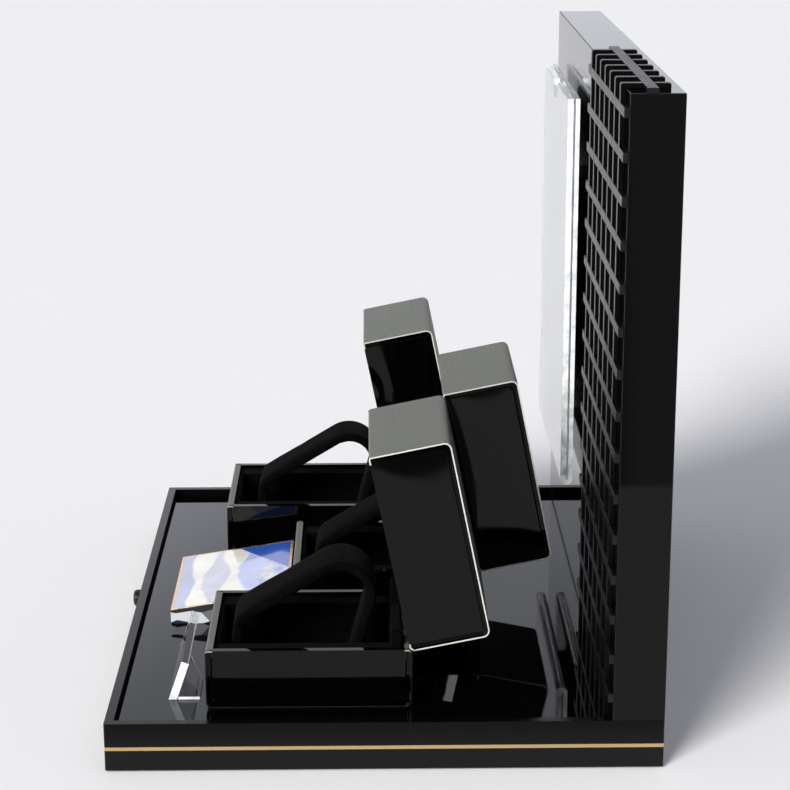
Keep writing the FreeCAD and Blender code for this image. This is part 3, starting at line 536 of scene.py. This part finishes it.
def plateLine(length, height, inset):
    # from the opening down one end, along the outer side and up the other end
    half = length / 2 - inset
    turn = max(plateSizes["corner"] - inset, plateSizes["leastCorner"])
    turn = min(turn, half * 0.9, (height - inset) * 0.9)
    left = []
    for i in range(plateSizes["endSteps"]):
        share = i / plateSizes["endSteps"]
        left.append((-half, height - (height - inset - turn) * share))
    for i in range(plateSizes["cornerSteps"]):
        angle = math.pi / 2 * i / plateSizes["cornerSteps"]
        back, down = turn * math.cos(angle), turn * math.sin(angle)
        left.append((-half + turn - back, inset + turn - down))
    count = plateSizes["sideSteps"]
    middle = [((-half + turn) * (1 - 2 * i / count), inset) for i in range(count + 1)]
    return left + middle + [(-u, v) for u, v in reversed(left)]


def pillowed(u, v, halfLong, halfHigh, rim):
    # how far the plate's middle stands out, falling off towards its four sides
    power = plateSizes["power"]
    a, b = min(1, abs(u) / halfLong), min(1, abs(v - rim - halfHigh) / halfHigh)
    return plateSizes["pillow"] * (1 - a ** power) * (1 - b ** power)


def plateMesh(name, length, height, spot):
    # spot turns along, up and out into a place
    spacing = plateSizes["spacing"]
    lines = [(plateLine(length, height, inset), out) for inset, out in plateSizes["frame"]]
    rim, base = plateSizes["frame"][-1]
    halfLong, halfHigh = length / 2 - rim, (height - rim) / 2
    inset = rim
    while inset < height - spacing * 1.5:
        inset += spacing * (plateSizes["firstSpacing"] if inset < rim + 0.001 else 1)
        lines.append((plateLine(length, height, inset), None))
    shape = bmesh.new()
    rows, backs = [], []
    for line, level in lines:
        row = []
        for u, v in line:
            out = level
            if level is None:
                out = base + pillowed(u, v, halfLong, halfHigh, rim)
            row.append(shape.verts.new(spot(u, v, out)))
        rows.append(row)
        backs.append([shape.verts.new(spot(*line[k], -plateSizes["back"])) for k in (0, -1)])
    for a, b in zip(rows, rows[1:]):
        for i in range(len(a) - 1):
            shape.faces.new((a[i], a[i + 1], b[i + 1], b[i]))
    shape.faces.new(rows[-1])
    outer = lines[0][0]
    skirt = [shape.verts.new(spot(u, v, -plateSizes["back"])) for u, v in outer]
    for i in range(len(outer) - 1):
        shape.faces.new((skirt[i], skirt[i + 1], rows[0][i + 1], rows[0][i]))
    # the rim side, from the grooves' ends down to the shell
    for k in (0, -1):
        for a, b, c, d in zip(rows, rows[1:], backs, backs[1:]):
            shape.faces.new((a[k], b[k], d[k], c[k]))
    shape.faces.new((rows[-1][0], rows[-1][-1], backs[-1][1], backs[-1][0]))
    bmesh.ops.remove_doubles(shape, verts=shape.verts, dist=1e-7)
    bmesh.ops.recalc_face_normals(shape, faces=shape.faces)
    mesh = bpy.data.meshes.new(name)
    shape.to_mesh(mesh)
    shape.free()
    for polygon in mesh.polygons:
        polygon.use_smooth = True
    mesh.set_sharp_from_angle(angle=math.radians(plateSizes["smooth"]))
    return mesh


def addPlates(side, part):
    # the rectangle that the wrap encloses, in its own plane
    wrap = nodes[f"{side}_{part}_wrap"].data
    low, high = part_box(f"{side}_{part}_wrap")
    tilt = 0 if part == "base" else math.pi - lidOpen
    along = Vector((0, math.cos(tilt), math.sin(tilt)))
    up = Vector((0, -math.sin(tilt), math.cos(tilt)))
    spread = [[vertex.co.dot(axis) for vertex in wrap.vertices] for axis in (along, up)]
    length, height = (max(values) - min(values) for values in spread)
    centre = (max(spread[0]) + min(spread[0])) / 2
    foot = min(spread[1])
    body = bodyOf[f"{side}_{part}_shell"]
    for label, end, way in (("near", high.x, 1), ("far", low.x, -1)):
        def spot(u, v, out):
            aside = Vector((end + way * out, 0, 0))
            return along * (centre + u) + up * (foot + v) + aside

        name = f"{side}_{part}_{label}_plate"
        addPiece(name, plateMesh(name, length, height, spot), body, "box_lacquer")


def dullWalls(piece):
    # the walls around the tray, all but the rear one, are raw black board
    low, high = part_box("tray_floor")
    raw = moulded("raw_black_edge", 0.0015, 0.7, 900, 0.00003)
    shader = raw.node_tree.nodes["Principled BSDF"]
    shader.inputs["Specular IOR Level"].default_value = 0.03
    piece.data.materials.append(raw)
    for polygon in piece.data.polygons:
        spot = polygon.center
        within = low.x - 0.001 < spot.x < high.x + 0.001
        before = low.y - 0.001 < spot.y < high.y - 0.001
        upright = abs(polygon.normal.z) < 0.6
        if within and before and upright and spot.z > high.z - 0.002:
            polygon.material_index = 1


def sawnEnds(piece, material, sides=(-1, 1)):
    # the faces that the saw left on the given sides
    piece.data.materials.append(material)
    for polygon in piece.data.polygons:
        if max(side * polygon.normal.x for side in sides) > 0.9:
            polygon.material_index = 1


eased = {
    "base_carcass": 0.0004,
    "back_panel": 0.0004,
    "tray_floor": 0.0002,
    "lattice_top_bar": 0.0004,
    "poster_holder": 0.0002,
    "holder_spacer_upper": 0.0003,
    "holder_spacer_lower": 0.0003,
    "picture_block": 0.0004,
    "picture_border": 0.00015,
    "name_block_upright": 0.0003,
    "name_block_foot": 0.0003,
    "front_stud": 0.0006,
    "rubber_feet": 0.0002,
}
for side in sides:
    for part in ("base", "lid"):
        eased[f"{side}_{part}_shell"] = 0.00016
        eased[f"{side}_{part}_wrap"] = 0.00012
pieces = {name: standIn(name, width) for name, width in eased.items()}
dullWalls(pieces["base_carcass"])
# cut ends of the clear pieces: white, with a painted glow
sawnLit = glowingSawnAcrylic()
for name in ("poster_holder", "name_block_upright", "name_block_foot"):
    sawnEnds(pieces[name], sawnLit)
# the picture block's near side is opaque, with painted refraction facets
sawnEnds(pieces["picture_block"], paintedRefractionFacets(), (1,))
for side in sides:
    for part in ("base", "lid"):
        addPlates(side, part)
print("eased pieces made:", len(eased))


# Lattice: one strip and one bar, each repeated by a node tree

lattice = {"slatRound": 0.0003, "barRound": 0.0003, "barCount": 15}


def socketOf(tree, name):
    inputs = (item for item in tree.interface.items_tree if item.in_out == "INPUT")
    return next(item.identifier for item in inputs if item.name == name)


def nodeTree(name, inputs):
    # a geometry tree with a geometry input and output and the named inputs
    tree = bpy.data.node_groups.new(name, "GeometryNodeTree")
    tree.interface.new_socket("Geometry", in_out="INPUT", socket_type="NodeSocketGeometry")
    for label, kind in inputs.items():
        tree.interface.new_socket(label, in_out="INPUT", socket_type="NodeSocket" + kind)
    tree.interface.new_socket("Geometry", in_out="OUTPUT", socket_type="NodeSocketGeometry")
    given = tree.nodes.new("NodeGroupInput").outputs
    return tree, given, tree.nodes.new("NodeGroupOutput").inputs


def runTree(tree, mesh, values):
    # the plain mesh that a tree makes from a mesh and its named values
    work = bpy.data.objects.new("working", mesh)
    bpy.context.scene.collection.objects.link(work)
    modifier = work.modifiers.new("tree", "NODES")
    modifier.node_group = tree
    for label, value in values.items():
        modifier[socketOf(tree, label)] = value
    return baked(work)


def repeatTree():
    # copies of the incoming mesh in a straight row
    named = {"Count": "Int", "Step": "Vector", "Finish": "Material"}
    tree, given, result = nodeTree("row_of_copies", named)
    line = tree.nodes.new("GeometryNodeMeshLine")
    copies = tree.nodes.new("GeometryNodeInstanceOnPoints")
    real = tree.nodes.new("GeometryNodeRealizeInstances")
    paint = tree.nodes.new("GeometryNodeSetMaterial")
    links = tree.links
    links.new(given["Count"], line.inputs["Count"])
    links.new(given["Step"], line.inputs["Offset"])
    links.new(line.outputs[0], copies.inputs["Points"])
    links.new(given["Geometry"], copies.inputs["Instance"])
    links.new(copies.outputs[0], real.inputs[0])
    links.new(real.outputs[0], paint.inputs["Geometry"])
    links.new(given["Finish"], paint.inputs["Material"])
    links.new(paint.outputs[0], result[0])
    return tree


rowTree = repeatTree()


def addSlats():
    first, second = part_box(slats[0])[0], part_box(slats[1])[0]
    strip = rounded(cadCopy(slats[0]), lattice["slatRound"])
    values = {"Count": len(slats), "Step": tuple(second - first)}
    values["Finish"] = finishes["lattice_grey"]
    piece = addPiece("lattice_slats", runTree(rowTree, strip, values), "stand", "lattice_grey")
    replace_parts(piece, *slats)


def addBars():
    # the lowest bar of the comb is cut out of the copy, eased and repeated
    low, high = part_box("lattice_cross_bars")
    shape = bmesh.new()
    shape.from_mesh(cadCopy("lattice_cross_bars"))
    levels = sorted({round(vertex.co.z, 6) for vertex in shape.verts})
    barHigh = levels[1] - levels[0]
    above = [vertex for vertex in shape.verts if vertex.co.z > low.z + barHigh * 1.5]
    bmesh.ops.delete(shape, geom=above, context="VERTS")
    bar = bpy.data.meshes.new("bar")
    shape.to_mesh(bar)
    shape.free()
    count = lattice["barCount"]
    step = (high.z - low.z - barHigh) / (count - 1)
    values = {"Count": count, "Step": (0, 0, step), "Finish": finishes["lattice_grey"]}
    mesh = runTree(rowTree, rounded(bar, lattice["barRound"]), values)
    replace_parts(addPiece("lattice_bars", mesh, "stand", "lattice_grey"), "lattice_cross_bars")


addSlats()
addBars()
print("lattice made")


# Suede cuffs: a padded band bent over, filled out by a short cloth run

cuffSizes = {
    "thick": 0.0054,
    "wide": 0.0336,
    "edgeRound": 0.0021,
    "kneeRound": 0.0099,
    "crownRound": 0.0198,
    "crown": 0.0003,
    "spacing": 0.0016,
    "arcSteps": 24,
    "flatSteps": 10,
    "pressure": 3.5,
    "mostSwell": 0.0007,
}
# the outer line's corners: distances back and up from the box's front and underside
cuffShape = {
    "frontFoot": 0.0109, "kneeBack": 0.0146, "kneeHigh": 0.0412, "crownBack": 0.1057,
    "crownHigh": 0.0963, "rearFoot": 0.081, "footLevel": 0.0046,
}


def cuffCorners(low):
    front = low.y - cuffShape["frontFoot"]
    under = low.z - cuffShape["footLevel"]
    corners = (
        ("frontFoot", "footLevel"), ("kneeBack", "kneeHigh"),
        ("crownBack", "crownHigh"), ("rearFoot", "footLevel"),
    )
    return [(front + cuffShape[back], under + cuffShape[up]) for back, up in corners]


def bentPath(corners, rounds, spacing):
    # evenly spaced points along straight runs joined by arcs
    path = [Vector(corners[0])]
    for i in range(1, len(corners) - 1):
        here = Vector(corners[i])
        back = (Vector(corners[i - 1]) - here).normalized()
        ahead = (Vector(corners[i + 1]) - here).normalized()
        half = back.angle(ahead) / 2
        start = here + back * (rounds[i] / math.tan(half))
        end = here + ahead * (rounds[i] / math.tan(half))
        centre = here + (back + ahead).normalized() * (rounds[i] / math.sin(half))
        for step in range(cuffSizes["arcSteps"] + 1):
            arm = (start - centre).lerp(end - centre, step / cuffSizes["arcSteps"])
            path.append(centre + arm.normalized() * rounds[i])
    path.append(Vector(corners[-1]))
    lengths = [0]
    for a, b in zip(path, path[1:]):
        lengths.append(lengths[-1] + (b - a).length)
    count = max(8, round(lengths[-1] / spacing))
    points, k = [], 0
    for i in range(count + 1):
        want = lengths[-1] * i / count
        while k < len(path) - 2 and lengths[k + 1] < want:
            k += 1
        share = (want - lengths[k]) / max(1e-9, lengths[k + 1] - lengths[k])
        points.append(path[k].lerp(path[k + 1], min(1, share)))
    return points


def bandSection():
    # the band's cross-section: across, depth below the outer face, both in metres
    wide, thick, turn = (cuffSizes[key] for key in ("wide", "thick", "edgeRound"))
    wide /= 2
    ring = []
    for i in range(cuffSizes["flatSteps"] + 1):
        x = (wide - turn) * (1 - 2 * i / cuffSizes["flatSteps"])
        ring.append((x, -cuffSizes["crown"] * (1 - (x / wide) ** 2)))
    for a in range(1, 6):
        angle = math.pi * a / 12
        ring.append((-(wide - turn) - turn * math.sin(angle), turn - turn * math.cos(angle)))
    ring.append((-wide, turn + (thick - 2 * turn) * 0.5))
    lower = [(x, thick - y) for x, y in reversed(ring[:-1])]
    ring += [(x, y) for x, y in lower]
    right = [(-x, y) for x, y in ring if x < -(wide - turn) - 1e-9]
    return ring + list(reversed(right))


def cuffMesh(side):
    low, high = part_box(f"{side}_cuff")
    foot = low.z
    rounds = (0, cuffSizes["kneeRound"], cuffSizes["crownRound"], 0)
    outer = bentPath(cuffCorners(low), rounds, cuffSizes["spacing"])
    middle = (low.x + high.x) / 2
    section = bandSection()
    shape = bmesh.new()
    rings = []
    for i, point in enumerate(outer):
        before = outer[max(0, i - 1)]
        after = outer[min(len(outer) - 1, i + 1)]
        along = (after - before).normalized()
        inward = Vector((along.y, -along.x))
        ring = []
        for across, depth in section:
            spot = point + inward * depth
            ring.append(shape.verts.new((middle + across, spot.x, max(spot.y, foot))))
        rings.append(ring)
    count = len(section)
    for a, b in zip(rings, rings[1:]):
        for i in range(count):
            shape.faces.new((a[i], a[(i + 1) % count], b[(i + 1) % count], b[i]))
    shape.faces.new(rings[0])
    shape.faces.new(list(reversed(rings[-1])))
    bmesh.ops.recalc_face_normals(shape, faces=shape.faces)
    mesh = bpy.data.meshes.new(f"{side}_cuff_band")
    shape.to_mesh(mesh)
    shape.free()
    return mesh


def fillOut(mesh, pressure, mostSwell):
    # swells a closed cloth with pressure, and holds each point near its start
    work = bpy.data.objects.new("filling", mesh)
    bpy.context.scene.collection.objects.link(work)
    for polygon in mesh.polygons:
        polygon.use_smooth = True
    start = [vertex.co.copy() for vertex in mesh.vertices]
    cloth = work.modifiers.new("cloth", "CLOTH")
    settings = cloth.settings
    settings.quality = 4
    settings.mass = 0.05
    settings.use_pressure = True
    settings.uniform_pressure_force = pressure
    settings.effector_weights.gravity = 0
    settings.tension_stiffness = 18
    settings.compression_stiffness = 18
    settings.bending_stiffness = 0.6
    for step in range(1, 16):
        bpy.context.scene.frame_set(step)
    graph = bpy.context.evaluated_depsgraph_get()
    swollen = bpy.data.meshes.new_from_object(work.evaluated_get(graph))
    work.modifiers.clear()
    for vertex, first, moved in zip(mesh.vertices, start, swollen.vertices):
        shift = moved.co - first
        if shift.length > mostSwell:
            shift = shift.normalized() * mostSwell
        vertex.co = first + shift
    bpy.data.meshes.remove(swollen)
    bpy.context.scene.frame_set(1)
    smooth = work.modifiers.new("smooth", "SMOOTH")
    smooth.factor = 0.5
    smooth.iterations = 2
    finer = work.modifiers.new("finer", "SUBSURF")
    finer.levels = finer.render_levels = 1
    return baked(work)


def addCuffs():
    band = fillOut(cuffMesh(sides[0]), cuffSizes["pressure"], cuffSizes["mostSwell"])
    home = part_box(f"{sides[0]}_cuff")[0]
    for side in sides:
        mesh = band.copy()
        mesh.transform(Matrix.Translation(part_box(f"{side}_cuff")[0] - home))
        piece = addPiece(f"{side}_suede_cuff", mesh, bodyOf[f"{side}_cuff"], "suede")
        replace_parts(piece, f"{side}_cuff")


addCuffs()
print("cuffs made")


# Suede liners: the insert's edges are drawn over foam, so they round and dip

linerSizes = {"base_liner": 0.0012, "lid_lining": 0.0003, "grid": 0.003, "dip": 0.0002}


def cutLargeFaces(shape):
    large = [face for face in shape.faces if len(face.verts) > 4]
    bmesh.ops.triangulate(shape, faces=large)


def softCopy(name, width, depth):
    # rounded copy, cut finer and pressed a little uneven
    mesh = rounded(cadCopy(name), width, 3)
    shape = bmesh.new()
    shape.from_mesh(mesh)
    cutLargeFaces(shape)
    longest = linerSizes["grid"] * 2
    for _ in range(3):
        long = [edge for edge in shape.edges if edge.calc_length() > longest]
        if long:
            bmesh.ops.subdivide_edges(shape, edges=long, cuts=1, use_grid_fill=True)
            cutLargeFaces(shape)
    shape.normal_update()
    for vertex in shape.verts:
        vertex.co += vertex.normal * (noise.noise(vertex.co * 140) - 0.6) * depth
    shape.to_mesh(mesh)
    shape.free()
    for polygon in mesh.polygons:
        polygon.use_smooth = True
    return mesh


for side in sides:
    for part in ("base_liner", "lid_lining"):
        name = f"{side}_{part}"
        mesh = softCopy(name, linerSizes[part], linerSizes["dip"])
        piece = addPiece(f"{name}_suede", mesh, bodyOf[name], "suede")
        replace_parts(piece, name)
print("liners made")


# Studio: pale floor, soft key from the left and an even surround

studio = {
    "floorSize": 14,
    "floorColour": (0.93, 0.93, 0.94, 1),
    "surround": (0.87, 0.89, 0.97, 1),
    "fill": 0.42,
    "surroundFar": 1.0,
    "surroundNear": 0.16,
    "skyLow": 1.15,
    "skyHigh": 0.77,
    "skyLean": 0.8,
    "skyFrom": 0.25,
    "skyTo": 0.33,
    "depthFrom": -0.75,
    "depthTo": 0.65,
    "seen": 0.95,
    "frontStart": 0.24,
    "frontSoft": 0.02,
    "frontEnd": 0.68,
    "endSoft": 0.008,
    "table": 0.4,
    "roomSlant": 0.115,
    "roomFrom": 0.095,
    "roomTo": 0.12,
    "roomLow": 0.05,
    "roomHigh": 0.19,
    "keyStrength": 3.75,
    "keyColour": (1, 0.985, 0.96),
    "keyAngle": 26,
    "keyWay": (-0.72, 0.5, -0.48),
}


def addFloor():
    half = studio["floorSize"] / 2
    mesh = bpy.data.meshes.new("floor")
    corners = [(-half, -half, 0), (half, -half, 0), (half, half, 0), (-half, half, 0)]
    mesh.from_pydata(corners, [], [(0, 1, 2, 3)])
    floor = bpy.data.objects.new("floor", mesh)
    bpy.context.scene.collection.objects.link(floor)
    finish = Finish("pale_floor", {"Roughness": 0.9, "Specular IOR Level": 0.1})
    pale = studio["floorColour"]
    duller = tuple(c * 0.99 for c in pale)
    finish.feed("Base Color", finish.mix(finish.noise(3, 3), pale, duller))
    # to the stand's right, black gloss mirrors a table that ends in a dim room
    light = finish.add("ShaderNodeLightPath").outputs
    forward, aside, _ = finish.parts()
    slant = finish.math("MULTIPLY", forward, studio["roomSlant"])
    slant = finish.math("SUBTRACT", aside, slant)
    room = [studio[key] for key in ("roomFrom", "roomTo", "roomLow", "roomHigh")]
    room = finish.spread(slant, *room)
    end, soft = studio["frontEnd"], studio["endSoft"]
    table = finish.spread(forward, end - soft, end + soft, studio["table"], room)
    dim = finish.add("ShaderNodeEmission", {"Color": pale, "Strength": table}).outputs[0]
    start, soft = studio["frontStart"], studio["frontSoft"]
    front = finish.spread(forward, start - soft, start + soft, 0, 1)
    share = finish.math("MULTIPLY", front, light["Is Glossy Ray"])
    output = finish.tree.nodes["Material Output"]
    plain = finish.shader.outputs[0]
    both = finish.add("ShaderNodeMixShader", {0: share, 1: plain, 2: dim}).outputs[0]
    finish.tree.links.new(both, output.inputs[0])
    mesh.materials.append(finish.material)


def softFade(tree, keys):
    # a soft change between two levels, given by their names among the studio's numbers
    fade = tree.nodes.new("ShaderNodeMapRange")
    fade.interpolation_type = "SMOOTHSTEP"
    for socket, key in zip(("From Min", "From Max", "To Min", "To Max"), keys):
        fade.inputs[socket].default_value = studio[key]
    return fade


def addSurround():
    world = bpy.data.worlds.new("surround")
    bpy.context.scene.world = world
    world.use_nodes = True
    tree = world.node_tree
    tree.nodes.clear()
    make = tree.nodes.new
    spot = make("ShaderNodeTexCoord")
    parts = make("ShaderNodeSeparateXYZ")
    fade = softFade(tree, ("depthFrom", "depthTo", "surroundFar", "surroundNear"))
    light = make("ShaderNodeLightPath")
    lean = make("ShaderNodeMath")
    sky = softFade(tree, ("skyFrom", "skyTo", "skyLow", "skyHigh"))
    both = make("ShaderNodeMath")
    even = make("ShaderNodeMix")
    seen = make("ShaderNodeMix")
    background = make("ShaderNodeBackground")
    output = make("ShaderNodeOutputWorld")
    # brighter towards the horizon and the left, and dim on the viewer's side
    lean.operation, both.operation = "MULTIPLY_ADD", "MULTIPLY"
    lean.inputs[1].default_value = studio["skyLean"]
    links = tree.links
    links.new(spot.outputs["Generated"], parts.inputs[0])
    links.new(parts.outputs[0], fade.inputs["Value"])
    links.new(light.outputs["Is Camera Ray"], seen.inputs[0])
    links.new(parts.outputs[1], lean.inputs[0])
    links.new(parts.outputs[2], lean.inputs[2])
    links.new(lean.outputs[0], sky.inputs["Value"])
    links.new(sky.outputs[0], both.inputs[0])
    links.new(fade.outputs[0], both.inputs[1])
    links.new(light.outputs["Is Diffuse Ray"], even.inputs[0])
    links.new(both.outputs[0], even.inputs[2])
    even.inputs[3].default_value = studio["fill"]
    links.new(even.outputs[0], seen.inputs[2])
    seen.inputs[3].default_value = studio["seen"]
    links.new(seen.outputs[0], background.inputs["Strength"])
    background.inputs["Color"].default_value = studio["surround"]
    links.new(background.outputs[0], output.inputs[0])


def addKey():
    lamp = bpy.data.lights.new("key", "SUN")
    lamp.energy = studio["keyStrength"]
    lamp.color = studio["keyColour"]
    lamp.angle = math.radians(studio["keyAngle"])
    key = bpy.data.objects.new("key", lamp)
    key.rotation_euler = Vector(studio["keyWay"]).to_track_quat("-Z", "Y").to_euler()
    bpy.context.scene.collection.objects.link(key)


addFloor()
addSurround()
addKey()
print("studio made")
